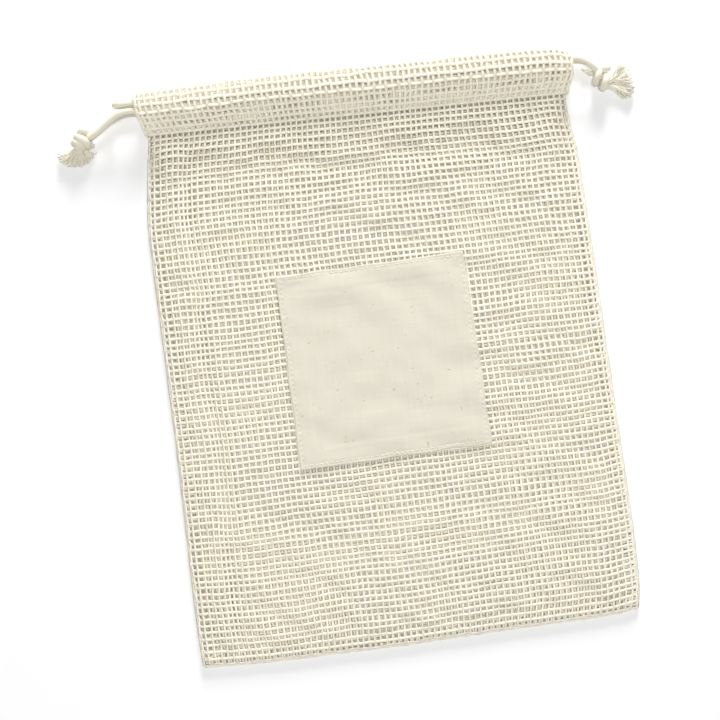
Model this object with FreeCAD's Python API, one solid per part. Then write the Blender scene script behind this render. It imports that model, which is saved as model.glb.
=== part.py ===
"""Cotton net drawstring laundry bag, lying flat on its back.

Frame: +X across the width, +Y towards the mouth, +Z up through the front net.  The origin is the
centre of the bag's footprint, on the surface it lies on.  All sizes are in millimetres.
"""
import FreeCAD, Part
import math
import os
from FreeCAD import Vector

# Driving dimensions
BAG_LENGTH = 405.0
CASING_LENGTH = 313.6
CASING_HEIGHT = 28.0
CASING_TILT_DEG = -1.28         # the top edge is sewn a little out of square
CASING_SIDE = 15.0              # straight part of each end; below it the casing tapers to the neck
NET = 1.2                       # thickness of a net panel or a casing wall
CORD_D = 4.5
TUNNEL_CLEARANCE = 0.7          # total, over the cord's diameter
MOUTH_GAP = 5.4                 # between the two casings
SEAM_WIDTH = 5.0
SEAM_THICKNESS = 3.0
SIDE_RISE = 25.0                # width over which the front net rises beside a seam
BOTTOM_RISE = 30.0
HEM_WIDTH = 4.0                 # solid, sewn-down foot of each casing
LEFT_SLIT = 8.0                 # the casings' facing walls stop this far from the left end
RIGHT_SLIT = 14.5

# Levels, from the surface that the bag lies on
CASING_DEPTH = CORD_D + TUNNEL_CLEARANCE + 2 * NET
FRONT_CASING_Z = CASING_DEPTH + MOUTH_GAP
BACK_CORD_Z = CASING_DEPTH / 2
FRONT_CORD_Z = FRONT_CASING_Z + CASING_DEPTH / 2
RIM_Z = NET + SEAM_THICKNESS
LOW_PLATEAU_Z = 6.8

# Footprint
BOTTOM_Y = -BAG_LENGTH / 2
TILT = math.radians(CASING_TILT_DEG)
CASING_CENTRE_Y = (
    BAG_LENGTH / 2
    - CASING_HEIGHT / 2 * math.cos(TILT)
    - CASING_LENGTH / 2 * math.sin(-TILT)
)
LEFT_EDGE = [(BOTTOM_Y, -152.0), (-196.0, -155.0), (110.0, -155.0), (174.0, -148.0)]
RIGHT_EDGE = [(BOTTOM_Y, 149.0), (-190.0, 155.5), (-130.0, 156.0), (60.0, 151.5), (168.0, 146.5)]
ROWS = [
    BOTTOM_Y,
    BOTTOM_Y + SEAM_WIDTH,
    BOTTOM_Y + SEAM_WIDTH + BOTTOM_RISE,
    -130.0,
    60.0,
    110.0,
]
PLATEAU_START_Y = ROWS[2]
PLATEAU_END_Y = 171.0
SLOPE = (FRONT_CASING_Z - LOW_PLATEAU_Z) / (PLATEAU_END_Y - PLATEAU_START_Y)

# Patch: its four corners, left bottom first, and its layers
PATCH = [(-71.1, -74.4), (65.9, -71.9), (62.3, 65.7), (-71.9, 64.0)]
PATCH_CLOTH = 0.5
PATCH_HEM_WIDTH = 14.0

# Thread
STITCH_LENGTH = 2.6
STITCH_PITCH = 3.6
STITCH_WIDTH = 0.8
STITCH_HEIGHT = 0.4
PATCH_STITCH_INSET = 3.0
OVERLOCK_PITCH = 5.0
OVERLOCK_WIDTH = 1.0

# Cord places in the casing: (along it, across it from its centre line)
LEFT_CORD_Y = (3.0, 3.6)        # front tunnel, and the back tunnel's end at the loop
RIGHT_CORD_Y = (8.5, 9.6)
LEFT_CORD_LOOP_X = 153.0
RIGHT_CORD_LOOP_X = -169.45
HINGE_X = 159.2                 # where each pair of tails swings from
RUN_END_X = 156.6

# Tails, from the knot to the casing: (x, y, height of the upper cord, height of the lower cord)
LEFT_TAIL = [
    (-190.2, 177.5, 10.0, 5.2),
    (-182.2, 181.3, 11.9, 4.6),
    (-174.0, 186.9, 14.6, 4.0),
]
LEFT_TAIL_START_X = -164.8
RIGHT_TAIL = [(172.6, 179.4, 10.0, 5.2), (170.2, 185.6, 13.6, 4.3)]
RIGHT_TAIL_START_X = 163.5
ARC_SHARE = 0.45

# Knots and tassels: centre, radius, and the tassel's direction and size
KNOT_R = 7.75
LEFT_KNOT = Vector(-195.6, 177.0, KNOT_R)
RIGHT_KNOT = Vector(173.7, 175.4, KNOT_R)
LEFT_TASSEL_DEG = 250.0
RIGHT_TASSEL_DEG = -22.0
TASSEL_LENGTH = 19.0
TASSEL_SPREAD_DEG = 84.0
TUFTS = 7
TUFT_START = 6.2                # inside the knot, measured from its centre
TUFT_ROOT_R = 1.5
TUFT_TIP_R = 2.3
TASSEL_LAYERS = (2.8, 6.8)      # heights of the lower and the upper cord's frayed end


def in_casing(x, y, z):
    """A point given along and across the casing, in the bag's frame."""
    return Vector(
        x * math.cos(TILT) - y * math.sin(TILT),
        CASING_CENTRE_Y + x * math.sin(TILT) + y * math.cos(TILT),
        z,
    )


def place_in_casing(shape):
    shape.Placement = FreeCAD.Placement(
        Vector(0, CASING_CENTRE_Y, 0),
        FreeCAD.Rotation(Vector(0, 0, 1), CASING_TILT_DEG),
    )
    return shape


def casing_foot_y(x):
    """The line where the net panels meet the casings."""
    return CASING_CENTRE_Y + x * math.tan(TILT) - CASING_HEIGHT / 2 / math.cos(TILT)


def edge_x(edge, y):
    """The bag's side at a height y, between the edge's points."""
    for (y0, x0), (y1, x1) in zip(edge, edge[1:]):
        if y <= y1:
            return x0 + (x1 - x0) * (y - y0) / (y1 - y0)
    return edge[-1][1]


def plateau_z(y):
    """Underside of the front net, away from its seams."""
    return LOW_PLATEAU_Z + SLOPE * (y - PLATEAU_START_Y)


def front_grid():
    """Underside of the front net as rows of points, from the bottom seam to the casing."""
    grid = []
    for row, y in enumerate(ROWS + [None]):
        at_top = y is None
        left = edge_x(LEFT_EDGE, LEFT_EDGE[-1][0] if at_top else y)
        right = edge_x(RIGHT_EDGE, RIGHT_EDGE[-1][0] if at_top else y)
        inner = SEAM_WIDTH + SIDE_RISE
        xs = [left, left + SEAM_WIDTH, left + inner, right - inner, right - SEAM_WIDTH, right]
        points = []
        for column, x in enumerate(xs):
            py = casing_foot_y(x) if at_top else y
            flat = not at_top and (row < 2 or column in (0, 1, 4, 5))
            points.append(Vector(x, py, RIM_Z if flat else plateau_z(py)))
        grid.append(points)
    return grid


def grid_solid(top, bottom):
    """Closed solid between two grids of points, one above the other."""
    rows, columns = len(top), len(top[0])
    faces = []

    def face(*corners):
        faces.append(Part.Face(Part.makePolygon(list(corners) + [corners[0]])))

    for r in range(rows - 1):
        for c in range(columns - 1):
            for grid in (top, bottom):
                face(grid[r][c], grid[r][c + 1], grid[r + 1][c + 1])
                face(grid[r][c], grid[r + 1][c + 1], grid[r + 1][c])
    rim = (
        [(0, c) for c in range(columns)]
        + [(r, columns - 1) for r in range(1, rows)]
        + [(rows - 1, c) for c in range(columns - 2, -1, -1)]
        + [(r, 0) for r in range(rows - 2, 0, -1)]
    )
    for (r0, c0), (r1, c1) in zip(rim, rim[1:] + rim[:1]):
        face(top[r0][c0], top[r1][c1], bottom[r1][c1], bottom[r0][c0])
    solid = Part.Solid(Part.Shell(faces))
    return solid if solid.Volume > 0 else solid.reversed()


def lifted(grid, height):
    return [[p + Vector(0, 0, height) for p in row] for row in grid]


def levelled(grid, z):
    return [[Vector(p.x, p.y, z) for p in row] for row in grid]


def front_mesh_panel():
    under = front_grid()
    return grid_solid(lifted(under, NET), under)


def back_mesh_panel():
    """The back net, flat on the table, as wide as the seams all round."""
    outline = [Vector(row[0].x, row[0].y, 0) for row in front_grid()]
    outline += [Vector(row[-1].x, row[-1].y, 0) for row in reversed(front_grid())]
    return Part.Face(Part.makePolygon(outline + outline[:1])).extrude(Vector(0, 0, NET))


def seam(columns, rows):
    """Seam allowance between the nets, under part of the front net's rim."""
    part = [[row[c] for c in columns] for row in front_grid()[rows]]
    return grid_solid(part, levelled(part, NET))


def casing(z, facing_wall_z):
    """Tunnel from end to end, with a sewn-down foot and a slit in its facing wall at each end."""
    half, length = CASING_HEIGHT / 2, CASING_LENGTH
    body = Part.makeBox(length, CASING_HEIGHT, CASING_DEPTH, Vector(-length / 2, -half, z))
    fold = [
        e
        for e in body.Edges
        if abs(e.BoundBox.XLength - length) < 0.01 and e.BoundBox.YMin > half - 0.01
    ]
    body = body.makeFillet(CASING_DEPTH / 2 - 0.4, fold)
    tunnel_width = CASING_HEIGHT - NET - HEM_WIDTH
    tunnel_depth = CASING_DEPTH - 2 * NET
    tunnel = Part.makeBox(
        length + 2, tunnel_width, tunnel_depth, Vector(-length / 2 - 1, HEM_WIDTH - half, z + NET)
    )
    fold_inside = [
        e
        for e in tunnel.Edges
        if abs(e.BoundBox.XLength - length - 2) < 0.01 and e.BoundBox.YMin > half - NET - 0.01
    ]
    body = body.cut(tunnel.makeFillet(tunnel_depth / 2 - 0.4, fold_inside))
    for end, neck in ((-length / 2, LEFT_EDGE[-1][1]), (length / 2, RIGHT_EDGE[-1][1])):
        corner = [(end, half - CASING_SIDE), (neck, -half), (end * 1.1, -half)]
        outline = [Vector(x, y, z) for x, y in corner + corner[:1]]
        wedge = Part.Face(Part.makePolygon(outline)).extrude(Vector(0, 0, CASING_DEPTH))
        body = body.cut(wedge)
    for x, slit in ((-length / 2, LEFT_SLIT), (length / 2 - RIGHT_SLIT, RIGHT_SLIT)):
        body = body.cut(
            Part.makeBox(slit, tunnel_width, NET, Vector(x, HEM_WIDTH - half, facing_wall_z))
        )
    return place_in_casing(body)


def stitch(at, direction):
    """One flat thread stitch, standing on the point given."""
    bar = Part.makeBox(
        STITCH_LENGTH,
        STITCH_WIDTH,
        STITCH_HEIGHT,
        Vector(-STITCH_LENGTH / 2, -STITCH_WIDTH / 2, 0),
    )
    bar.Placement = FreeCAD.Placement(at, FreeCAD.Rotation(Vector(1, 0, 0), direction))
    return bar


def stitch_row(start, end):
    """Stitches from one point to another, evenly spaced."""
    along = end - start
    count = int(along.Length / STITCH_PITCH)
    return [stitch(start + along * ((i + 0.5) / count), along) for i in range(count)]


def casing_stitching(z):
    y = HEM_WIDTH / 2 - CASING_HEIGHT / 2
    inset = RIGHT_EDGE[-1][1] - 3.0
    return Part.makeCompound(stitch_row(in_casing(-inset, y, z), in_casing(inset, y, z)))


def overlock(points, inward):
    """Thread wraps against the inner edge of a seam allowance."""
    wraps = []
    for start, end in zip(points, points[1:]):
        along = end - start
        count = int(along.Length / OVERLOCK_PITCH)
        for i in range(count):
            at = start + along * ((i + 0.5) / count)
            wrap = Part.makeBox(
                OVERLOCK_WIDTH,
                STITCH_HEIGHT,
                SEAM_THICKNESS,
                Vector(-OVERLOCK_WIDTH / 2, 0 if inward > 0 else -STITCH_HEIGHT, 0),
            )
            wrap.Placement = FreeCAD.Placement(
                Vector(at.x, at.y, NET), FreeCAD.Rotation(Vector(1, 0, 0), along)
            )
            wraps.append(wrap)
    return Part.makeCompound(wraps)


def seam_line(column):
    """Inner edge of a side seam, from the bottom seam up to where it starts to rise."""
    return [Vector(row[column].x, row[column].y, 0) for row in front_grid()[1:-1]]


def on_front(shape):
    """Moves a shape made on the XY plane onto the front net's upper face."""
    angle = math.degrees(math.atan(SLOPE))
    shape.Placement = FreeCAD.Placement(
        Vector(0, 0, plateau_z(0) + NET), FreeCAD.Rotation(Vector(1, 0, 0), angle)
    ).multiply(shape.Placement)
    return shape


def patch_outline(inset, z):
    """The patch's corners moved inwards, as points at a height above the net."""
    middle_x = sum(x for x, _ in PATCH) / 4
    middle_y = sum(y for _, y in PATCH) / 4
    return [
        Vector(x + math.copysign(inset, middle_x - x), y + math.copysign(inset, middle_y - y), z)
        for x, y in PATCH
    ]


def patch_plate(inset, z, thickness):
    corners = patch_outline(inset, z)
    return Part.Face(Part.makePolygon(corners + corners[:1])).extrude(Vector(0, 0, thickness))


def patch_panel():
    return on_front(patch_plate(0, PATCH_CLOTH, PATCH_CLOTH))


def patch_hem():
    whole = patch_plate(0, 0, PATCH_CLOTH)
    return on_front(whole.cut(patch_plate(PATCH_HEM_WIDTH, 0, PATCH_CLOTH)))


def patch_stitching():
    corners = patch_outline(PATCH_STITCH_INSET, 2 * PATCH_CLOTH)
    stitches = []
    for start, end in zip(corners, corners[1:] + corners[:1]):
        stitches += stitch_row(start, end)
    return on_front(Part.makeCompound(stitches))


def rounded_corners(points):
    """Start, middle and end of the arc at each inner point, as large as its two runs allow."""
    arcs = []
    for before, corner, after in zip(points, points[1:], points[2:]):
        back, ahead = before - corner, after - corner
        reach = ARC_SHARE * min(back.Length, ahead.Length)
        back, ahead = back.normalize(), ahead.normalize()
        half_turn = (math.pi - back.getAngle(ahead)) / 2
        radius = reach / math.tan(half_turn)
        centre_way = (back + ahead).normalize()
        centre = corner + centre_way * (radius / math.cos(half_turn))
        arcs.append((corner + back * reach, centre - centre_way * radius, corner + ahead * reach))
        print(f"    bend of {math.degrees(2 * half_turn):5.1f} degrees, radius {radius:6.1f} mm")
    return arcs


def tube(name, start, arcs, end):
    """Cord from one point to another through tangent arcs, with flat ends."""
    edges, at = [], start
    for first, middle, last in arcs:
        edges.append(Part.LineSegment(at, first).toShape())
        edges.append(Part.Arc(first, middle, last).toShape())
        at = last
    edges.append(Part.LineSegment(at, end).toShape())
    path = Part.Wire(edges)
    way = edges[0].tangentAt(edges[0].FirstParameter)
    ring = Part.Wire(Part.makeCircle(CORD_D / 2, start, way))
    solid = path.makePipeShell([ring], True, False)
    section = math.pi * (CORD_D / 2) ** 2
    print(f"  {name}: length {path.Length:.1f} mm, volume is {solid.Volume / section / path.Length:.4f} "
          "of its section times its length")
    return solid


def tail(name, arcs, knot_end, hinge):
    """A tail from its knot to a ball that it swings round, at the casing's end."""
    return tube(name, knot_end, arcs, hinge).fuse(Part.makeSphere(CORD_D / 2, hinge)).removeSplitter()


def drawcord(side, tail_points, tail_start_x, tunnel_ys, loop_x):
    """One cord: its two runs and loop, and its two tails, as three solids."""
    away = math.copysign(1, tail_start_x)
    front_y, back_y = tunnel_ys
    upper = [Vector(x, y, high) for x, y, high, _ in tail_points]
    lower = [Vector(x, y, low) for x, y, _, low in tail_points]
    route = (
        upper
        + [in_casing(tail_start_x, front_y, FRONT_CORD_Z), in_casing(loop_x, front_y, FRONT_CORD_Z)]
        + [in_casing(loop_x, back_y, BACK_CORD_Z), in_casing(tail_start_x, front_y, BACK_CORD_Z)]
        + lower[::-1]
    )
    print(f"  {side} cord, from its knot through the front casing, round the loop and back:")
    arcs = rounded_corners(route)
    bends = len(tail_points)
    run_start = in_casing(away * RUN_END_X, front_y, FRONT_CORD_Z)
    run_end = in_casing(away * RUN_END_X, front_y, BACK_CORD_Z)
    upper_hinge = in_casing(away * HINGE_X, front_y, FRONT_CORD_Z)
    lower_hinge = Vector(upper_hinge.x, upper_hinge.y, BACK_CORD_Z)
    lower_arcs = [arc[::-1] for arc in arcs[::-1][:bends]]
    shapes = {
        f"{side}_drawcord": tube("run", run_start, arcs[bends : bends + 2], run_end),
        f"{side}_tail_upper": tail("upper tail", arcs[:bends], upper[0], upper_hinge),
        f"{side}_tail_lower": tail("lower tail", lower_arcs, lower[0], lower_hinge),
    }
    return shapes


def knot(centre):
    """The outer shape of an overhand knot in both tails."""
    return Part.makeSphere(KNOT_R, centre)


def tassel(centre, middle_deg):
    """Frayed cord ends: tapered tufts that fan out from the knot in two layers."""
    tufts = []
    for layer, z in enumerate(TASSEL_LAYERS):
        count = TUFTS - layer
        for i in range(count):
            share = i / (count - 1) - 0.5
            angle = math.radians(middle_deg + TASSEL_SPREAD_DEG * share * (1 - 0.2 * layer))
            way = Vector(math.cos(angle), math.sin(angle), 0)
            length = TASSEL_LENGTH * (1 - 0.5 * share * share - 0.1 * layer)
            root = Vector(centre.x, centre.y, z) + way * TUFT_START
            reach = length - TUFT_START
            tufts.append(Part.makeCone(TUFT_ROOT_R, TUFT_TIP_R, reach, root, way))
    return tufts[0].multiFuse(tufts[1:]).removeSplitter()


def build():
    facing_back = CASING_DEPTH - NET
    shapes = {
        "back_mesh_panel": back_mesh_panel(),
        "front_mesh_panel": front_mesh_panel(),
        "back_casing": casing(0, facing_back),
        "front_casing": casing(FRONT_CASING_Z, FRONT_CASING_Z),
        "back_casing_stitching": casing_stitching(CASING_DEPTH),
        "front_casing_stitching": casing_stitching(FRONT_CASING_Z + CASING_DEPTH),
        "left_side_seam": seam((0, 1), slice(None)),
        "right_side_seam": seam((4, 5), slice(None)),
        "bottom_seam": seam((1, 2, 3, 4), slice(0, 2)),
        "left_seam_stitching": overlock(seam_line(1), -1),
        "right_seam_stitching": overlock(seam_line(4), 1),
        "bottom_seam_stitching": overlock([front_grid()[1][1], front_grid()[1][4]], 1),
        "patch_panel": patch_panel(),
        "patch_hem": patch_hem(),
        "patch_stitching": patch_stitching(),
        "left_knot": knot(LEFT_KNOT),
        "right_knot": knot(RIGHT_KNOT),
        "left_tassel": tassel(LEFT_KNOT, LEFT_TASSEL_DEG),
        "right_tassel": tassel(RIGHT_KNOT, RIGHT_TASSEL_DEG),
    }
    shapes.update(
        drawcord("left", LEFT_TAIL, LEFT_TAIL_START_X, LEFT_CORD_Y, LEFT_CORD_LOOP_X)
    )
    shapes.update(
        drawcord("right", RIGHT_TAIL, RIGHT_TAIL_START_X, RIGHT_CORD_Y, RIGHT_CORD_LOOP_X)
    )
    return shapes


os.makedirs("parts", exist_ok=True)
for name, shape in build().items():
    shape.exportStep(f"parts/{name}.step")
    box = shape.BoundBox
    print(
        f"{name}: {len(shape.Solids)} solids, valid {shape.isValid()}, {shape.Volume / 1000:.2f} cm3, "
        f"x {box.XMin:.1f} {box.XMax:.1f}, y {box.YMin:.1f} {box.YMax:.1f}, z {box.ZMin:.2f} {box.ZMax:.2f}"
    )
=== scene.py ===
"""Looks of the cotton net drawstring laundry bag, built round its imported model.

The bag lies flat on its back.  Its nets are woven yarn by yarn.  Lengths here are in millimetres,
in the row frame, and meshes are made in metres.
"""
import math

import bpy
import numpy as np
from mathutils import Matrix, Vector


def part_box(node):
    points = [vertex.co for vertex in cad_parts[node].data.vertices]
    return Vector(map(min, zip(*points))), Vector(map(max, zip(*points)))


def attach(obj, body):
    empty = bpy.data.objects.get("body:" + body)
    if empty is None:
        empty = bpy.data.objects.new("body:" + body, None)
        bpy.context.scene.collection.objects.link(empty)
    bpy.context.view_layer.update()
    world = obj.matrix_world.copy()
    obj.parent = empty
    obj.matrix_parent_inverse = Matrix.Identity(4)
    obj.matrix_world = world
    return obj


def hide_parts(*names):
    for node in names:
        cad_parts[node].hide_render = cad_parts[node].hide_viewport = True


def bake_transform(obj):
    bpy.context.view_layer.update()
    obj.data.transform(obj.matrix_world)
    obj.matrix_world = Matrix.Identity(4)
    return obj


MM = 0.001
X_WAY = np.array([1.0, 0.0, 0.0])
Y_WAY = np.array([0.0, 1.0, 0.0])
Z_WAY = np.array([0.0, 0.0, 1.0])

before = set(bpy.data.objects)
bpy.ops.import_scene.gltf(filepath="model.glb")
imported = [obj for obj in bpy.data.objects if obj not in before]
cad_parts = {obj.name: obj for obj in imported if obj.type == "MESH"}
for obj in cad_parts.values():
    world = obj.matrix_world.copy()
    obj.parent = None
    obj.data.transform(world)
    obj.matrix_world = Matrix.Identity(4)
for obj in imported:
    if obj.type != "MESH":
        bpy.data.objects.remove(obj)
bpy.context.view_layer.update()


# ---------------------------------------------------------------- where things are

def underside(node):
    """Lowest level of a CAD node, in millimetres."""
    low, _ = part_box(node)
    return low.z / MM


TILT = math.radians(-1.28)          # of the casings
CASING_CENTRE_Y = 185.0
CASING_HALF_HEIGHT = 14.0
CORD_D = 4.5
YARN_WIDTH = 2.12
YARN_HEIGHT = 1.1
COLUMNS = 74
ROWS = 84

# The bag's sides, from the bottom up, as (y, x), and its bottom from left to right, as (x, y)
LEFT_SIDE = [
    (-206, -156), (-188, -157), (-140, -157), (-50, -156), (110, -156.8), (150, -152), (172, -147.8),
]
RIGHT_SIDE = [
    (-204, 152.5), (-190, 156.6), (-140, 157.2), (-60, 155.4), (60, 153), (130, 150.8), (148, 147.4),
    (170, 146.6),
]
BOTTOM_SIDE = [(-157, -204), (-110, -206), (-20, -206), (60, -204), (135, -203), (157, -199.5)]

# The casing's two ends, as (y, x) from its centre
CASING_LEFT = [(-14, -147.6), (-8, -150.6), (-3, -154), (3, -155.2), (9, -154.8), (14, -153.4)]
CASING_RIGHT = [(-14, 147.6), (-8, 150.4), (-1, 153.8), (5, 154.6), (10, 153.4), (14, 149.0)]

RIM_Z = 4.4                         # the front net's yarns over the seam allowance
LOW_PLATEAU_Z = 5.6                 # the front net near the bottom, where it lies lowest
PLATEAU_SLOPE = 0.006
PLATEAU_START_Y = -167.5
CASING_FOOT_Z = 11.2                # the front net where it meets its casing
SIDE_RISE = 28.0                    # widths of the slopes up from the seams
BOTTOM_RISE = 34.0


def in_casing(x, y, z):
    """A point given along and across the casing, in the bag's frame."""
    return np.stack(
        np.broadcast_arrays(
            x * math.cos(TILT) - y * math.sin(TILT),
            CASING_CENTRE_Y + x * math.sin(TILT) + y * math.cos(TILT),
            z,
        ),
        -1,
    )


def casing_foot_y(x):
    return CASING_CENTRE_Y + x * math.tan(TILT) - CASING_HALF_HEIGHT / math.cos(TILT)


def on_curve(curve, at):
    """Smoothed value of a curve given by a few points."""
    known, value = np.array(curve).T
    return sum(np.interp(at + d, known, value) for d in (-9, -4.5, 0, 4.5, 9)) / 5


def smooth(t):
    t = np.clip(t, 0, 1)
    return t * t * (3 - 2 * t)


class Ripple:
    """Smooth random unevenness over a plane, between about -1 and 1."""

    def __init__(self, seed, shortest, longest, waves=16):
        rng = np.random.default_rng(seed)
        turn = rng.uniform(0, 2 * math.pi, waves)
        number = 2 * math.pi / rng.uniform(shortest, longest, waves)
        self.across = number * np.cos(turn)
        self.up = number * np.sin(turn)
        self.phase = rng.uniform(0, 2 * math.pi, waves)

    def __call__(self, x, y):
        total = 0.0
        for kx, ky, phase in zip(self.across, self.up, self.phase):
            total = total + np.sin(kx * x + ky * y + phase)
        return total / math.sqrt(len(self.phase) / 2) / 1.6


# ---------------------------------------------------------------- meshes

def closed_tubes(paths, width, height, across, sides):
    """Closed tubes with an even number of sides along paths[yarn, point]: vertices and quads."""
    paths = np.asarray(paths, float)
    yarns, points = paths.shape[:2]
    ahead = np.gradient(paths, axis=1)
    ahead /= np.linalg.norm(ahead, axis=2, keepdims=True)
    side = across - (ahead @ across)[..., None] * ahead if np.ndim(across) == 1 else across
    side = side / np.linalg.norm(side, axis=2, keepdims=True)
    up = np.cross(ahead, side)
    half_w = np.broadcast_to(width, (yarns, points))[..., None, None] / 2
    half_h = np.broadcast_to(height, (yarns, points))[..., None, None] / 2
    angle = np.arange(sides) * 2 * math.pi / sides
    ring = (
        paths[:, :, None]
        + half_w * np.cos(angle)[:, None] * side[:, :, None]
        + half_h * np.sin(angle)[:, None] * up[:, :, None]
    )
    corner = np.arange(yarns * points * sides).reshape(yarns, points, sides)
    after = np.roll(corner, -1, axis=2)
    walls = np.stack([corner[:, :-1], after[:, :-1], after[:, 1:], corner[:, 1:]], -1).reshape(-1, 4)
    caps = []
    for k in range(1, sides - 1, 2):
        caps.append(corner[:, 0][:, [0, k + 2, k + 1, k]])
        caps.append(corner[:, -1][:, [0, k, k + 1, k + 2]])
    faces = np.concatenate([walls] + caps)
    return ring.reshape(-1, 3), faces


def joined(parts):
    """Several (vertices, faces) as one."""
    vertices, faces, start = [], [], 0
    for v, f in parts:
        vertices.append(v)
        faces.append(f + start)
        start += len(v)
    return np.concatenate(vertices), np.concatenate(faces)


def volume(vertices, faces):
    """A number whose sign tells whether the faces look outwards."""
    a, b, c, d = (vertices[faces[:, k]] for k in range(4))
    return float((a * (np.cross(b, c) + np.cross(c, d))).sum())


def new_piece(name, parts, material, body=None, nodes=()):
    """A smooth mesh object made of closed parts, in millimetres."""
    parts = [(v, f if volume(v, f) > 0 else f[:, ::-1]) for v, f in parts]
    vertices, faces = joined(parts)
    mesh = bpy.data.meshes.new(name)
    mesh.vertices.add(len(vertices))
    mesh.vertices.foreach_set("co", (vertices * MM).astype(np.float32).ravel())
    mesh.loops.add(faces.size)
    mesh.loops.foreach_set("vertex_index", faces.astype(np.int32).ravel())
    mesh.polygons.add(len(faces))
    mesh.polygons.foreach_set("loop_start", np.arange(0, faces.size, 4, dtype=np.int32))
    mesh.update(calc_edges=True)
    mesh.polygons.foreach_set("use_smooth", np.ones(len(faces), bool))
    piece = bpy.data.objects.new(name, mesh)
    bpy.context.scene.collection.objects.link(piece)
    mesh.materials.append(material)
    if nodes:
        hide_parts(*nodes)
    if body:
        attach(piece, body)
    return piece


def cord_line(points):
    """The smooth line with these control points, in metres, as points read from its spline."""
    curve = bpy.data.curves.new("route", "CURVE")
    curve.dimensions = "3D"
    spline = curve.splines.new("NURBS")
    spline.points.add(len(points) - 1)
    for place, point in zip(spline.points, points):
        place.co = (*point, 1)
    spline.order_u = 3
    spline.use_endpoint_u = True
    spline.resolution_u = 48
    route = bpy.data.objects.new("route", curve)
    bpy.context.scene.collection.objects.link(route)
    mesh = bpy.data.meshes.new_from_object(route)
    line = np.array([v.co for v in mesh.vertices], float)
    bpy.data.objects.remove(route)
    bpy.data.curves.remove(curve)
    bpy.data.meshes.remove(mesh)
    return line


def evenly(line, spacing):
    """The same line, read at even steps."""
    step = np.linalg.norm(np.diff(line, axis=0), axis=1)
    line = line[np.concatenate([[True], step > 1e-9])]
    run = np.concatenate([[0], np.cumsum(np.linalg.norm(np.diff(line, axis=0), axis=1))])
    at = np.linspace(0, run[-1], int(run[-1] / spacing) + 1)
    return np.stack([np.interp(at, run, line[:, k]) for k in range(3)], 1)


def ways_along(line):
    ahead = np.gradient(line, axis=0)
    return ahead / np.linalg.norm(ahead, axis=1, keepdims=True)


def untwisted(line):
    """Directions across a line that turn with it as little as they can."""
    ahead = ways_along(line)
    side = np.cross(ahead[0], Z_WAY + 0.01 * X_WAY)
    sides = []
    for way in ahead:
        side = side - (side @ way) * way
        side = side / np.linalg.norm(side)
        sides.append(side)
    return np.array(sides)


BRAID_STEP = 0.7
BRAID_PITCH = 5.2
BRAID_SIDES = 24
BRAID_RELIEF = 0.11


def braided(line, width, height=None, across=None, round_ends=False):
    """A round braided cord along a line in millimetres, its strands crossing as diamonds."""
    height = width if height is None else height
    line = evenly(np.asarray(line, float), BRAID_STEP)
    ahead = ways_along(line)
    side = untwisted(line) if across is None else across - (ahead @ across)[:, None] * ahead
    number = np.arange(len(line))
    rounded = np.ones(len(line))
    if round_ends:
        from_end = np.minimum(number, number[::-1]) * BRAID_STEP
        rounded = np.sqrt(np.clip(1 - (1 - np.clip(from_end / 1.2, 0, 1)) ** 2, 0.12, 1))
    vertices, faces = closed_tubes(
        line[None], (width * rounded)[None], (height * rounded)[None], side[None], BRAID_SIDES
    )
    angle = np.arange(BRAID_SIDES) * 2 * math.pi / BRAID_SIDES
    along = 2 * math.pi * number * BRAID_STEP / BRAID_PITCH
    left = np.cos(4 * angle[None] + along[:, None])
    right = np.cos(4 * angle[None] - along[:, None])
    relief = BRAID_RELIEF * (left * right)
    centre = np.repeat(line, BRAID_SIDES, axis=0)
    out = vertices - centre
    out /= np.linalg.norm(out, axis=1, keepdims=True)
    return vertices + out * relief.reshape(-1, 1), faces


# ---------------------------------------------------------------- materials

def new_material(name):
    material = bpy.data.materials.new(name)
    material.use_nodes = True
    nodes = material.node_tree.nodes
    return material, nodes, material.node_tree.links, nodes["Principled BSDF"]


def cotton(name, pale, deep, mottle_mm, fibre_mm, relief_mm, glow=0.0):
    """Spun cotton: uneven natural colour, fibres in relief, and a glow of light passing inside it."""
    material, nodes, links, shader = new_material(name)
    shader.inputs["Roughness"].default_value = 0.92
    shader.inputs["Specular IOR Level"].default_value = 0.25
    shader.inputs["Sheen Weight"].default_value = 0.25
    shader.inputs["Sheen Roughness"].default_value = 0.6
    shader.inputs["Subsurface Weight"].default_value = glow
    shader.inputs["Subsurface Radius"].default_value = (1.0, 0.9, 0.7)
    shader.inputs["Subsurface Scale"].default_value = 1.2 * MM
    place = nodes.new("ShaderNodeTexCoord")
    mottle = nodes.new("ShaderNodeTexNoise")
    mottle.inputs["Scale"].default_value = 1 / (mottle_mm * MM)
    mottle.inputs["Detail"].default_value = 4
    links.new(place.outputs["Object"], mottle.inputs["Vector"])
    tint = nodes.new("ShaderNodeValToRGB")
    tint.color_ramp.elements[0].position = 0.33
    tint.color_ramp.elements[0].color = (*deep, 1)
    tint.color_ramp.elements[1].position = 0.62
    tint.color_ramp.elements[1].color = (*pale, 1)
    links.new(mottle.outputs["Fac"], tint.inputs["Fac"])
    links.new(tint.outputs["Color"], shader.inputs["Base Color"])
    fibre = nodes.new("ShaderNodeTexNoise")
    fibre.inputs["Scale"].default_value = 1 / (fibre_mm * MM)
    fibre.inputs["Detail"].default_value = 3
    links.new(place.outputs["Object"], fibre.inputs["Vector"])
    bump = nodes.new("ShaderNodeBump")
    bump.inputs["Strength"].default_value = 0.7
    bump.inputs["Distance"].default_value = relief_mm * MM
    links.new(fibre.outputs["Fac"], bump.inputs["Height"])
    links.new(bump.outputs["Normal"], shader.inputs["Normal"])
    return material


THREAD_PITCH_MM = 0.62              # of the patch's weave


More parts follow.
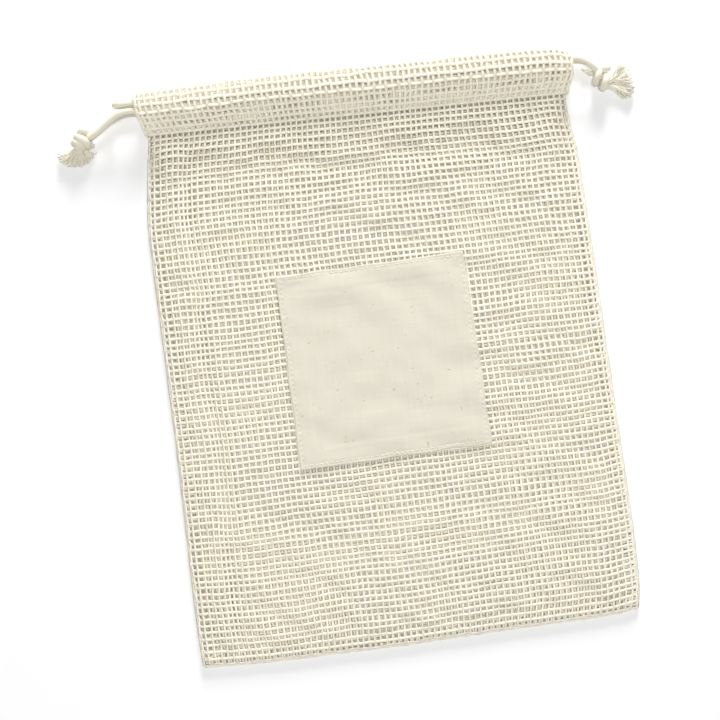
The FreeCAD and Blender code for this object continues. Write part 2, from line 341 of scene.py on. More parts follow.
def woven_cotton(name, pale, deep):
    """Plain weave: two sets of uneven threads, in colour and in relief, with a few seed flecks."""
    material = cotton(name, pale, deep, 40, 0.5, 0.05)
    nodes, links = material.node_tree.nodes, material.node_tree.links
    place = nodes["Texture Coordinate"]
    shader = nodes["Principled BSDF"]
    tint = nodes["Color Ramp"]
    threads, slubs = [], []
    for direction, stretch in (("X", (1, 0.06, 1)), ("Y", (0.06, 1, 1))):
        wave = nodes.new("ShaderNodeTexWave")
        wave.bands_direction = direction
        wave.inputs["Scale"].default_value = 2 * math.pi / (20 * THREAD_PITCH_MM * MM)
        wave.inputs["Distortion"].default_value = 1.2
        wave.inputs["Detail"].default_value = 2
        links.new(place.outputs["Object"], wave.inputs["Vector"])
        threads.append(wave)
        turn = nodes.new("ShaderNodeMapping")
        turn.inputs["Scale"].default_value = stretch
        links.new(place.outputs["Object"], turn.inputs["Vector"])
        slub = nodes.new("ShaderNodeTexNoise")
        slub.inputs["Scale"].default_value = 1 / (1.5 * MM)
        slub.inputs["Detail"].default_value = 3
        links.new(turn.outputs["Vector"], slub.inputs["Vector"])
        slubs.append(slub)
    weave = nodes.new("ShaderNodeMath")
    weave.operation = "MAXIMUM"
    links.new(threads[0].outputs["Fac"], weave.inputs[0])
    links.new(threads[1].outputs["Fac"], weave.inputs[1])
    cloth = nodes.new("ShaderNodeBump")
    cloth.inputs["Strength"].default_value = 0.5
    cloth.inputs["Distance"].default_value = 0.08 * MM
    links.new(weave.outputs[0], cloth.inputs["Height"])
    links.new(cloth.outputs["Normal"], nodes["Bump"].inputs["Normal"])
    uneven = nodes.new("ShaderNodeMath")
    uneven.operation = "ADD"
    links.new(slubs[0].outputs["Fac"], uneven.inputs[0])
    links.new(slubs[1].outputs["Fac"], uneven.inputs[1])
    half = nodes.new("ShaderNodeMath")
    half.operation = "MULTIPLY"
    half.inputs[1].default_value = 0.5
    links.new(uneven.outputs[0], half.inputs[0])
    links.new(half.outputs[0], tint.inputs["Fac"])
    fleck = nodes.new("ShaderNodeTexNoise")
    fleck.inputs["Scale"].default_value = 1 / (2.2 * MM)
    fleck.inputs["Detail"].default_value = 0
    links.new(place.outputs["Object"], fleck.inputs["Vector"])
    where = nodes.new("ShaderNodeValToRGB")
    where.color_ramp.elements[0].position = 0.785
    where.color_ramp.elements[0].color = (1, 1, 1, 1)
    where.color_ramp.elements[1].position = 0.84
    where.color_ramp.elements[1].color = (0.80, 0.74, 0.64, 1)
    links.new(fleck.outputs["Fac"], where.inputs["Fac"])
    speckled = nodes.new("ShaderNodeMix")
    speckled.data_type = "RGBA"
    speckled.blend_type = "MULTIPLY"
    speckled.inputs["Factor"].default_value = 1
    links.new(tint.outputs["Color"], speckled.inputs["A"])
    links.new(where.outputs["Color"], speckled.inputs["B"])
    links.new(speckled.outputs["Result"], shader.inputs["Base Color"])
    return material


def paper_white(name):
    """The studio floor: matt, with the faintest unevenness."""
    material, nodes, links, shader = new_material(name)
    shader.inputs["Roughness"].default_value = 0.95
    shader.inputs["Specular IOR Level"].default_value = 0.1
    noise = nodes.new("ShaderNodeTexNoise")
    noise.inputs["Scale"].default_value = 3
    tint = nodes.new("ShaderNodeValToRGB")
    tint.color_ramp.elements[0].color = (0.93, 0.93, 0.933, 1)
    tint.color_ramp.elements[1].color = (0.94, 0.94, 0.942, 1)
    links.new(noise.outputs["Fac"], tint.inputs["Fac"])
    links.new(tint.outputs["Color"], shader.inputs["Base Color"])
    return material


NET_COTTON = cotton("net_cotton", (0.965, 0.905, 0.75), (0.93, 0.858, 0.685), 7, 0.45, 0.10, 0.2)
CORD_COTTON = cotton("cord_cotton", (0.81, 0.772, 0.65), (0.755, 0.712, 0.58), 8, 0.5, 0.10)
PATCH_COTTON = woven_cotton("patch_cotton", (0.735, 0.69, 0.585), (0.705, 0.657, 0.55))
THREAD = cotton("thread", (0.84, 0.80, 0.69), (0.76, 0.71, 0.58), 5, 0.3, 0.05)


# ---------------------------------------------------------------- camera and light

BAG_SLANT = -math.atan2(0.1236, 0.9923)     # how the bag lies in the view, as a turn of the camera
VIEW_CENTRE = (-19.8, -1.8)
VIEW_LEVEL = 10                     # the height at which the view is FIELD_MM wide
FIELD_MM = 508.3
LENS_MM = 85
SENSOR_MM = 36


def place_camera():
    data = bpy.data.cameras.new("camera")
    data.lens = LENS_MM
    data.sensor_width = SENSOR_MM
    camera = bpy.data.objects.new("camera", data)
    distance = FIELD_MM * LENS_MM / SENSOR_MM
    camera.location = (VIEW_CENTRE[0] * MM, VIEW_CENTRE[1] * MM, (VIEW_LEVEL + distance) * MM)
    camera.rotation_euler = (0, 0, BAG_SLANT)
    bpy.context.scene.collection.objects.link(camera)
    bpy.context.scene.camera = camera


def area_light(name, place, size, watts):
    """A disk lamp that looks at the middle of the bag."""
    data = bpy.data.lights.new(name, "AREA")
    data.shape = "DISK"
    data.size = size
    data.energy = watts
    light = bpy.data.objects.new(name, data)
    light.location = place
    way = -np.array(place)
    light.rotation_euler = (
        math.atan2(math.hypot(way[0], way[1]), -way[2]),
        0,
        math.atan2(-way[0], way[1]),
    )
    bpy.context.scene.collection.objects.link(light)


# Lamps as (name, place in metres, diameter in metres, watts)
LAMPS = [
    ("overhead", (-0.02, 0.0, 2.4), 0.45, 30),
    ("key", (0.45, 2.05, 0.66), 0.6, 46),
    ("fill", (-0.2, -1.6, 1.3), 0.8, 6),
]


def studio():
    bpy.ops.mesh.primitive_plane_add(size=8, location=(0, 0, 0))
    floor = bpy.context.object
    floor.name = "floor"
    floor.data.materials.append(paper_white("paper"))
    world = bpy.data.worlds.new("studio")
    world.use_nodes = True
    world.node_tree.nodes["Background"].inputs["Color"].default_value = (1, 1, 1, 1)
    world.node_tree.nodes["Background"].inputs["Strength"].default_value = 0.25
    bpy.context.scene.world = world
    for name, place, size, watts in LAMPS:
        area_light(name, place, size, watts)
    bpy.context.scene.view_settings.view_transform = "Standard"


place_camera()
studio()


# ---------------------------------------------------------------- cords

FRONT_CORD_Z = 16.8                 # middles of the cords in the front casing and in the back one
BACK_CORD_Z = 3.8


def run_point(x, y, z):
    """A point of a cord's run in the casings, in metres."""
    return tuple(in_casing(x, y, z) * MM)


# Each cord's route from its knot through the front casing, round its loop, and back to the knot
LEFT_ROUTE = [
    (-0.1902, 0.1775, 0.0100),
    (-0.1822, 0.1813, 0.0119),
    (-0.1740, 0.1869, 0.0146),
    run_point(-164.8, 3.0, FRONT_CORD_Z),
    run_point(-155.2, 3.0, FRONT_CORD_Z),
    run_point(140.0, 3.0, FRONT_CORD_Z),
    run_point(153.0, 3.0, FRONT_CORD_Z),
    run_point(153.0, 3.6, BACK_CORD_Z),
    run_point(140.0, 3.6, BACK_CORD_Z),
    run_point(-155.2, 3.0, BACK_CORD_Z),
    run_point(-164.8, 3.8, BACK_CORD_Z),
    (-0.1752, 0.1882, 0.0040),
    (-0.1832, 0.1822, 0.0046),
    (-0.1902, 0.1775, 0.0052),
]
RIGHT_ROUTE = [
    (0.1728, 0.1786, 0.0100),
    (0.1692, 0.1828, 0.0132),
    (0.1640, 0.1868, 0.0156),
    run_point(158.0, 8.3, FRONT_CORD_Z),
    run_point(154.1, 8.5, FRONT_CORD_Z),
    run_point(-156.4, 8.5, FRONT_CORD_Z),
    run_point(-169.45, 8.5, FRONT_CORD_Z),
    run_point(-169.45, 9.6, BACK_CORD_Z),
    run_point(-156.4, 9.6, BACK_CORD_Z),
    run_point(154.1, 8.5, BACK_CORD_Z),
    run_point(159.0, 9.0, BACK_CORD_Z),
    (0.1660, 0.1886, 0.0040),
    (0.1708, 0.1840, 0.0043),
    (0.1728, 0.1786, 0.0052),
]


def make_cord(side, route, run_ends_x, tail_starts_x, cord_y):
    """The cord's tube along its whole route, through the casings and out to its two tails."""
    line = evenly(cord_line(route) / MM, BRAID_STEP)
    piece = new_piece(
        f"{side}_cord",
        [braided(line, CORD_D)],
        CORD_COTTON,
        nodes=(f"{side}_drawcord", f"{side}_tail_upper", f"{side}_tail_lower"),
    )
    start = in_casing(run_ends_x, cord_y, 10.0) * MM
    end = in_casing(tail_starts_x, cord_y, 10.0) * MM
    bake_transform(piece)
    return piece, line * MM


left_cord, left_line = make_cord("left", LEFT_ROUTE, -155.0, -164.0, 3.0)
right_cord, right_line = make_cord("right", RIGHT_ROUTE, 155.0, 163.0, 8.5)


# ---------------------------------------------------------------- knots and tassels

def turned(points, centre):
    """Points in a knot's own frame, turned with the bag's slant, moved to the knot's centre."""
    points = np.asarray(points, float)
    cos, sin = math.cos(BAG_SLANT), math.sin(BAG_SLANT)
    x = points[..., 0] * cos - points[..., 1] * sin
    y = points[..., 0] * sin + points[..., 1] * cos
    return np.stack([x + centre[0], y + centre[1], points[..., 2]], -1)


def bent_line(points):
    """A smooth line near a few points."""
    return cord_line([tuple(np.array(p) * MM) for p in points]) / MM


def strand(centre, points, width, height=None, round_ends=False):
    """A short stretch of cord in a knot, near a few points given in the knot's own frame."""
    return braided(turned(bent_line(points), centre), width, height, round_ends=round_ends)


def wrap(centre, middle, half_length, half_height, slant_deg, lean=0.0):
    """A loop of cord round the knot's middle, flattened where it is pulled tight."""
    turn = np.linspace(0, 2 * math.pi, 40)
    slant = math.radians(slant_deg)
    along = half_length * np.cos(turn)
    rise = half_height * np.sin(turn)
    x = middle[0] + along * math.cos(slant) - lean * np.sin(turn) * math.sin(slant)
    y = middle[1] + along * math.sin(slant) + lean * np.sin(turn) * math.cos(slant)
    line = turned(np.stack([x, y, middle[2] + rise], -1), centre)
    across = turned([[-math.sin(slant), math.cos(slant), 0]], (0, 0))[0]
    across = across * [1, 1, 0]
    return line, across


def wrap_tube(centre, middle, half_length, half_height, slant_deg, width, height, lean=0.0):
    line, across = wrap(centre, middle, half_length, half_height, slant_deg, lean)
    return braided(line, width, height, across)


FIBRE_POINTS = 14


def fan(rng, centre, root, neck, tips, level, count, crimp, thick=0.92):
    """Frayed plies: they leave the cord's end side by side, then spread between the tips given."""
    fibres = []
    tips = np.asarray(tips, float)
    t = np.linspace(0, 1, FIBRE_POINTS)[:, None]
    for _ in range(count):
        share = rng.uniform(0, 1)
        start = np.array([*root, level]) + rng.normal(0, 0.8, 3)
        middle = np.array([*neck, level]) + rng.normal(0, 1.1, 3)
        tip = np.array([
            np.interp(share, np.linspace(0, 1, len(tips)), tips[:, 0]),
            np.interp(share, np.linspace(0, 1, len(tips)), tips[:, 1]),
            0,
        ])
        tip[:2] = neck + (tip[:2] - neck) * rng.uniform(0.72, 1.05)
        tip[2] = np.clip(level * rng.uniform(0.1, 1.4) + rng.normal(0, 0.7), 0.6, 10)
        line = start * (1 - t) ** 2 + middle * 2 * t * (1 - t) + tip * t ** 2
        wave = crimp * np.sin(t[:, 0] * rng.uniform(9, 15) + rng.uniform(0, 6))
        way = (tip - start) / np.linalg.norm(tip - start)
        line[:, :2] += wave[:, None] * np.array([-way[1], way[0]]) * t
        line[:, 2] = np.maximum(line[:, 2], 0.6)
        fibres.append(turned(line, centre))
    fibres = np.array(fibres)
    thinning = np.linspace(1.5, 0.75, FIBRE_POINTS)[None]
    width = thick * rng.uniform(0.8, 1.2, (len(fibres), 1)) * thinning
    return closed_tubes(fibres, width, width, Z_WAY, 6)


LEFT_KNOT = (-195.6, 177.0)
RIGHT_KNOT = (173.7, 175.4)


def left_knot():
    over = [
        (-1.6, 2.4, 8.6), (-1.3, 4.8, 10.8), (0.6, 6.2, 12.0), (2.6, 6.0, 11.4), (3.8, 4.2, 8.8),
        (4.0, 1.8, 6.0),
    ]
    upper = [(6.2, 2.4, 9.6), (2.0, 0.0, 8.2), (-2.8, -3.4, 6.0), (-4.4, -5.6, 4.4)]
    lower = [(6.2, 1.8, 5.0), (2.0, -1.0, 4.6), (-0.8, -3.6, 3.8), (-1.6, -5.8, 3.4)]
    parts = [
        wrap_tube(LEFT_KNOT, (0.2, -1.0, 7.4), 5.4, 4.9, -34, 5.3, 4.0, 1.0),
        wrap_tube(LEFT_KNOT, (-2.6, -3.6, 6.6), 4.1, 4.3, -24, 4.8, 4.0, 1.0),
        wrap_tube(LEFT_KNOT, (2.2, -1.7, 5.0), 4.7, 3.0, -22, 3.8, 3.4, 0.5),
        strand(LEFT_KNOT, over, 4.4, 4.0),
        strand(LEFT_KNOT, upper, 4.6),
        strand(LEFT_KNOT, lower, 4.4),
    ]
    return new_piece("left_knot_wraps", parts, CORD_COTTON, "left_tail", ("left_knot",))


def left_tassel():
    rng = np.random.default_rng(31)
    outer = [(-19.6, -9.6), (-17.0, -14.2), (-11.6, -18.4), (-5.0, -19.0)]
    middle = [(-8.6, -18.6), (-3.4, -18.8), (0.6, -17.8), (4.6, -15.6)]
    inner = [(2.6, -16.6), (6.4, -13.0), (8.4, -10.6), (9.8, -8.0)]
    parts = [
        fan(rng, LEFT_KNOT, (-4.4, -4.4), (-6.0, -9.2), outer, 3.8, 50, 0.2),
        fan(rng, LEFT_KNOT, (-2.2, -4.8), (-1.9, -9.4), middle, 3.6, 46, 0.2),
        fan(rng, LEFT_KNOT, (-0.6, -5.0), (2.2, -8.4), inner, 3.0, 26, 0.2),
    ]
    return new_piece("left_frayed_ends", parts, CORD_COTTON, "left_tail", ("left_tassel",))


def right_knot():
    over = [(-3.0, 2.6, 6.0), (-1.6, 4.8, 9.6), (1.6, 5.8, 11.4), (4.4, 6.2, 10.6), (5.8, 6.3, 9.6)]
    upper = [(-2.4, 4.2, 9.8), (0.0, 1.6, 8.4), (3.4, -2.4, 6.4), (5.4, -3.4, 5.0)]
    lower = [(-2.4, 4.0, 5.2), (0.0, 0.6, 4.6), (2.4, -4.0, 4.0), (5.0, -5.0, 3.6)]
    stray = [(-2.4, 2.4, 3.4), (-5.0, 3.4, 3.2), (-6.6, 4.0, 3.0)]
    parts = [
        wrap_tube(RIGHT_KNOT, (-1.6, 0.8, 7.4), 5.0, 5.2, 68, 4.7, 4.0, 0.8),
        wrap_tube(RIGHT_KNOT, (2.6, -2.6, 7.2), 4.7, 4.9, 76, 5.1, 4.0, -0.6),
        strand(RIGHT_KNOT, over, 4.4, 3.9),
        strand(RIGHT_KNOT, upper, 4.6),
        strand(RIGHT_KNOT, lower, 4.4),
        strand(RIGHT_KNOT, stray, 2.8, 2.6, round_ends=True),
    ]
    return new_piece("right_knot_wraps", parts, CORD_COTTON, "right_tail", ("right_knot",))


def right_tassel():
    rng = np.random.default_rng(47)
    upper = [(12.8, 12.4), (16.6, 11.4), (21.0, 5.0), (23.4, -3.6)]
    lower = [(23.0, 0.6), (24.6, -6.0), (23.8, -11.4), (18.6, -13.6)]
    parts = [
        fan(rng, RIGHT_KNOT, (4.6, -2.8), (9.6, -1.2), upper, 4.8, 54, 0.55, 1.15),
        fan(rng, RIGHT_KNOT, (4.6, -5.0), (11.4, -5.4), lower, 3.6, 50, 0.5, 1.15),
        fan(rng, RIGHT_KNOT, (5.2, -5.6), (12.0, -8.8), [(17.0, -15.6), (18.6, -14.6)], 2.2, 5, 0.3),
        fan(rng, RIGHT_KNOT, (-5.8, 3.7), (-8.4, 4.8), [(-13.0, 6.4), (-12.4, 7.8)], 3.0, 9, 0.2),
    ]
    return new_piece(
        "right_frayed_ends", parts, CORD_COTTON, "right_tail", ("right_tassel",)
    )


left_knot_piece = left_knot()
left_tassel_piece = left_tassel()
right_knot_piece = right_knot()
right_tassel_piece = right_tassel()


# ---------------------------------------------------------------- the nets

def spaced(rng, count, unevenness):
    """Places from 0 to 1, a little unevenly spaced."""
    gaps = 1 + rng.normal(0, unevenness, count - 1)
    places = np.concatenate([[0], np.cumsum(gaps)])
    return places / places[-1]


CREASE_IN = 27.0                    # how far inside the left side the front is softly creased


def corner_pull(side, below, most):
    """How far rows are drawn up towards the casing's end, which crowds the ones just under it."""
    return most * np.exp(-((side / 24) ** 2)) * smooth(below / 14) * smooth((44 - below) / 30)


def net_lattice(seed):
    """Where a panel's columns and rows cross, seen from above: x and y by column and row."""
    rng = np.random.default_rng(seed)
    u = spaced(rng, COLUMNS, 0.05)[:, None]
    v = spaced(rng, ROWS, 0.06)[None]
    x = -155 + 310 * u + 0 * v
    for _ in range(2):
        foot, bottom = casing_foot_y(x), on_curve(BOTTOM_SIDE, x)
        y = bottom + (foot - bottom) * v
        left, right = on_curve(LEFT_SIDE, y), on_curve(RIGHT_SIDE, y)
        x = left + (right - left) * u
    inside = smooth(np.minimum(x - left, right - x) / 22) * smooth(np.minimum(y - bottom, foot - y) / 22)
    slow = Ripple(seed + 1, 60, 130), Ripple(seed + 2, 60, 130)
    quick = Ripple(seed + 3, 14, 34), Ripple(seed + 4, 14, 34)
    dx = 0.75 * slow[0](x, y) + 0.20 * quick[0](x, y)
    crease = x - left - CREASE_IN
    dx = dx - 2.0 * np.tanh(crease / 6) * np.exp(-((crease / 26) ** 2))
    dy = 0.65 * slow[1](x, y) + 0.16 * quick[1](x, y)
    below = foot - y
    y = y + 1.6 * (1 - np.exp(-below / 5)) * np.exp(-below / 30)
    dy = dy + corner_pull(x - left, foot - y, 3.0) + corner_pull(right - x, foot - y, 2.2)
    jitter = rng.normal(0, 0.11, (2,) + x.shape)
    return x + dx * inside + jitter[0], y + dy * inside + jitter[1]


def from_sides(x, y):
    """How far a place lies inside the bag's two sides, and above its bottom."""
    side = np.minimum(x - on_curve(LEFT_SIDE, y), on_curve(RIGHT_SIDE, y) - x)
    return side, y - on_curve(BOTTOM_SIDE, x)


def front_level(x, y):
    """Middle of the front net's yarns: it rises from the seams, and turns down at the very edge."""
    side, bottom = from_sides(x, y)
    top = casing_foot_y(x) - y
    plateau = LOW_PLATEAU_Z + PLATEAU_SLOPE * (y - PLATEAU_START_Y)
    plateau = plateau + (CASING_FOOT_Z - plateau) * smooth(1 - top / 40)
    plateau = plateau - 0.7 * np.exp(-(((x - on_curve(LEFT_SIDE, y) - CREASE_IN) / 5) ** 2))
    near_top = smooth(1 - top / 60)
    rise = smooth(side / (SIDE_RISE * (1 - 0.85 * near_top))) * smooth(bottom / BOTTOM_RISE)
    level = RIM_Z + (plateau - RIM_Z) * rise
    edge = np.clip(np.minimum(side, bottom) / 3.2, 0, 1)
    turned_down = 1 - np.sqrt(np.clip(1 - (1 - edge) ** 2, 0, 1))
    return level - 2.0 * turned_down * (1 - near_top)


def back_level(x, y):
    """Middle of the back net's yarns: on the table, and a little higher at the very edge."""
    side, bottom = from_sides(x, y)
    edge = np.clip(np.minimum(side, bottom) / 3.2, 0, 1)
    return 0.85 + 0.9 * (1 - edge) ** 2


SIM_COLUMNS = 40
SIM_ROWS = 46
SIM_FRAMES = 22
SAG = 2.2                           # the most that the front net may come down


def settled_front():
    """The front net's slack, let down by cloth simulation onto a sheet SAG below its start; heights and
    shifts over its grid.
    """
    x = np.linspace(-150, 148, SIM_COLUMNS)
    y = np.linspace(-198, 168, SIM_ROWS)
    gx, gy = np.meshgrid(x, y, indexing="ij")
    start = front_level(gx, gy) + 0.25 * Ripple(61, 30, 70)(gx, gy)
    vertices = np.stack([gx, gy, start], -1).reshape(-1, 3) * MM
    index = np.arange(SIM_COLUMNS * SIM_ROWS).reshape(SIM_COLUMNS, SIM_ROWS)
    faces = np.stack([index[:-1, :-1], index[1:, :-1], index[1:, 1:], index[:-1, 1:]], -1).reshape(-1, 4)
    mesh = bpy.data.meshes.new("slack")
    mesh.from_pydata(vertices.tolist(), [], faces.tolist())
    cloth = bpy.data.objects.new("slack", mesh)
    bpy.context.scene.collection.objects.link(cloth)
    rim = cloth.vertex_groups.new(name="rim")
    edge = np.ones_like(index, bool)
    edge[1:-1, 1:-1] = False
    rim.add(index[edge].ravel().tolist(), 1.0, "REPLACE")
    under_mesh = bpy.data.meshes.new("under")
    low = vertices - [0, 0, SAG * MM]
    under_mesh.from_pydata(low.tolist(), [], faces.tolist())
    under = bpy.data.objects.new("under", under_mesh)
    bpy.context.scene.collection.objects.link(under)
    under.modifiers.new("Collision", "COLLISION")
    under.collision.thickness_outer = 0.0005
    modifier = cloth.modifiers.new("Cloth", "CLOTH")
    modifier.settings.quality = 6
    modifier.settings.mass = 0.1
    modifier.settings.tension_stiffness = 12
    modifier.settings.compression_stiffness = 12
    modifier.settings.shear_stiffness = 4
    modifier.settings.bending_stiffness = 0.05
    modifier.settings.vertex_group_mass = "rim"
    modifier.settings.shrink_min = -0.012
    modifier.collision_settings.distance_min = 0.0004
    modifier.point_cache.frame_start = 1
    modifier.point_cache.frame_end = SIM_FRAMES
    scene = bpy.context.scene
    for step in range(1, SIM_FRAMES + 1):
        scene.frame_set(step)
    shape = cloth.evaluated_get(bpy.context.evaluated_depsgraph_get())
    settled = np.array([v.co for v in shape.data.vertices], float).reshape(SIM_COLUMNS, SIM_ROWS, 3) / MM
    scene.frame_set(1)
    for o in (cloth, under):
        bpy.data.objects.remove(o)
    drop = np.clip(settled[..., 2] - front_level(gx, gy), -SAG, 1.2)
    shift = np.clip(settled[..., :2] - np.stack([gx, gy], -1), -1.6, 1.6)
    return x, y, drop, shift


def sampled(x_at, y_at, values, x, y):
    """Values given over a grid, read between its points."""
    i = np.clip(np.interp(x, x_at, np.arange(len(x_at))), 0, len(x_at) - 1.001)
    j = np.clip(np.interp(y, y_at, np.arange(len(y_at))), 0, len(y_at) - 1.001)
    i0, j0 = i.astype(int), j.astype(int)
    fi, fj = i - i0, j - j0
    low = values[i0, j0] * (1 - fi) + values[i0 + 1, j0] * fi
    high = values[i0, j0 + 1] * (1 - fi) + values[i0 + 1, j0 + 1] * fi
    return low * (1 - fj) + high * fj


def net(points, crossing, warp_sides, weft_sides, mid_rings=True, warp_outside=(), row_width=1.0):
    """Warp and weft yarns through the lattice points[column, row], passing over and under.

    The warp keeps to the outside at the rows in warp_outside, as it does round a fold.
    """
    columns, rows = points.shape[:2]
    weave = (-1.0) ** (np.arange(columns)[:, None] + np.arange(rows)[None])
    weave[:, list(warp_outside)] = 1.6
    along_warp = np.gradient(points, axis=1)
    along_weft = np.gradient(points, axis=0)
    out = np.cross(along_weft, along_warp)
    out /= np.linalg.norm(out, axis=2, keepdims=True)
    warp = points + out * (crossing * weave)[..., None]
    weft = points - out * (crossing * weave)[..., None]
    row_width = np.broadcast_to(row_width, rows)
    thick = np.ones(warp.shape[:2]) * row_width
    if mid_rings:
        middles = (warp[:, :-1] + warp[:, 1:]) / 2
        mixed = np.empty((columns, 2 * rows - 1, 3))
        mixed[:, 0::2], mixed[:, 1::2] = warp, middles
        thick = np.ones((columns, 2 * rows - 1)) * np.interp(
            np.arange(2 * rows - 1) / 2, np.arange(rows), row_width
        )
        thick[:, 1::2] *= 0.86
        warp = mixed
    weft = weft.transpose(1, 0, 2)
    return [
        closed_tubes(warp, YARN_WIDTH * thick, YARN_HEIGHT, X_WAY, warp_sides),
        closed_tubes(weft, YARN_WIDTH * 0.95 * row_width[:, None], YARN_HEIGHT * 0.92, Y_WAY, weft_sides),
    ]


def front_lattice():
    x, y = net_lattice(11)
    z = front_level(x, y)
    side, bottom = from_sides(x, y)
    top = casing_foot_y(x) - y
    inside = smooth(side / 14) * smooth(bottom / 14) * smooth(top / 14)
    x_at, y_at, drop, shift = settled_front()
    z = z + inside * sampled(x_at, y_at, drop, x, y)
    x = x + inside * sampled(x_at, y_at, shift[..., 0], x, y)
    y = y + inside * sampled(x_at, y_at, shift[..., 1], x, y)
    return np.stack([x, y, z], -1)


def back_lattice():
    """The back net, whose crossings lie about half a cell away from the front net's."""
    x, y = net_lattice(23)
    side, bottom = from_sides(x, y)
    inside = smooth(np.minimum(side, bottom) / 9) * smooth((casing_foot_y(x) - y) / 9)
    x, y = x + 2.1 * inside, y - 2.2 * inside
    return np.stack([x, y, back_level(x, y)], -1)


front_points = front_lattice()
back_points = back_lattice()
front_yarns = net(front_points, 0.07, 4, 6)
front_net = new_piece("front_net", front_yarns, NET_COTTON, "bag", ("front_mesh_panel",))
back_yarns = net(back_points, 0.16, 4, 4, False, row_width=1.25)
back_net = new_piece("back_net", back_yarns, NET_COTTON, "bag", ("back_mesh_panel",))


# ---------------------------------------------------------------- seam allowances inside the bag

def allowance(seed, near, far, rows, layers_z, axis):
    """Two layers of net turned in along a seam, from the outer line to the inner line."""
    rng = np.random.default_rng(seed)
    parts = []
    share = np.array([0.04, 0.5, 0.98])[:, None]
    outer, inner = near(rows), far(rows)
    for z in layers_z:
        points = outer[None] + (inner - outer)[None] * share[..., None]
        points = points + rng.normal(0, 0.35, points.shape)
        points[..., 2] = z + rng.normal(0, 0.08, points.shape[:2])
        if axis == "y":
            parts += net(points, 0.2, 4, 4, False)
        else:
            parts += net(points.transpose(1, 0, 2), 0.2, 4, 4, False)
    return parts


def side_line(curve, inset):
    """A line along a side of the bag, some way inside it."""

    def line(y):
        x = on_curve(curve, y) + inset
        return np.stack([x, y, 0 * y], -1)

    return line


def bottom_line(inset):
    """A line along the bottom of the bag, some way inside it."""

    def line(x):
        return np.stack([x, on_curve(BOTTOM_SIDE, x) + inset, 0 * x], -1)

    return line


SEAM_ROWS = np.linspace(-198, 160, 81)
SEAM_COLUMNS = np.linspace(-150, 149, 70)
ALLOWANCE = 8.5                     # width of the seam allowances
SEAM_START = 0.8                    # how far inside the outline they start
LAYERS = (2.2, 3.3)
OVERLOCK_INSET = ALLOWANCE - 0.6
OVERLOCK_Z = 2.75
OVERLOCK_RADIUS = 1.5
OVERLOCK_PITCH = 3.4


def overlock(line):
    """Thread that coils round the raw edge of a seam allowance."""
    run = np.concatenate([[0], np.cumsum(np.linalg.norm(np.diff(line, axis=0), axis=1))])
    at = np.arange(0, run[-1], 0.45)
    middle = np.stack([np.interp(at, run, line[:, k]) for k in range(3)], 1)
    side = np.cross(ways_along(middle), Z_WAY)
    turn = 2 * math.pi * at / OVERLOCK_PITCH
    sideways = OVERLOCK_RADIUS * np.cos(turn)[:, None] * side
    coil = middle + sideways + 0.95 * np.sin(turn)[:, None] * Z_WAY
    return closed_tubes(coil[None], 0.55, 0.55, untwisted(coil)[None], 4)


def seam(name, net_yarns, edge, seam_node):
    """One seam allowance with the overlock thread along its raw edge."""
    new_piece(f"{name}_seam_allowance", net_yarns, NET_COTTON, "bag", (seam_node,))
    thread = [overlock(edge + [0, 0, OVERLOCK_Z])]
    new_piece(f"{name}_overlock", thread, THREAD, "bag", (f"{name}_seam_stitching",))


def seams():
    y, x = SEAM_ROWS, SEAM_COLUMNS
    for name, curve, sign in (("left", LEFT_SIDE, 1), ("right", RIGHT_SIDE, -1)):
        near, far = side_line(curve, SEAM_START * sign), side_line(curve, ALLOWANCE * sign)
        edge = side_line(curve, OVERLOCK_INSET * sign)(y)
        seam(name, allowance(71, near, far, y, LAYERS, "y"), edge, f"{name}_side_seam")
    near, far = bottom_line(SEAM_START), bottom_line(ALLOWANCE)
    seam("bottom", allowance(73, near, far, x, LAYERS, "x"), bottom_line(OVERLOCK_INSET)(x), "bottom_seam")


seams()


# ---------------------------------------------------------------- casings

# Section of a casing round its cords, from its foot over the fold and back to its foot, as (y, z)
CASING_SECTION = [
    (-14.0, -1.6), (-12.4, -1.3), (-10.4, -0.2), (-7.5, 1.5), (-3.6, 2.8), (-0.8, 6.0), (2.0, 7.15),
    (6.0, 7.2), (10.2, 7.15), (13.2, 6.1), (14.4, 4.0), (13.2, 1.8), (10.4, 0.8), (4.0, 0.6),
    (-4.0, 0.5), (-10.0, -1.0), (-13.6, -2.2),
]
CASING_ROWS = 16
CASING_FOLD_ROWS = (7, 8, 9)

# How far the casings' facing layers stop short of their ends, so that the cords pass between them
LEFT_SLIT = 8.5
RIGHT_SLIT = 15.0

# How much the casing's top edge stands out at places along it, as (x, rise)
CASING_RISE = [(-155, 1.6), (-120, 2.8), (-60, 4.4), (60, 4.6), (125, 4.6), (145, 3.6), (155, 2.0)]


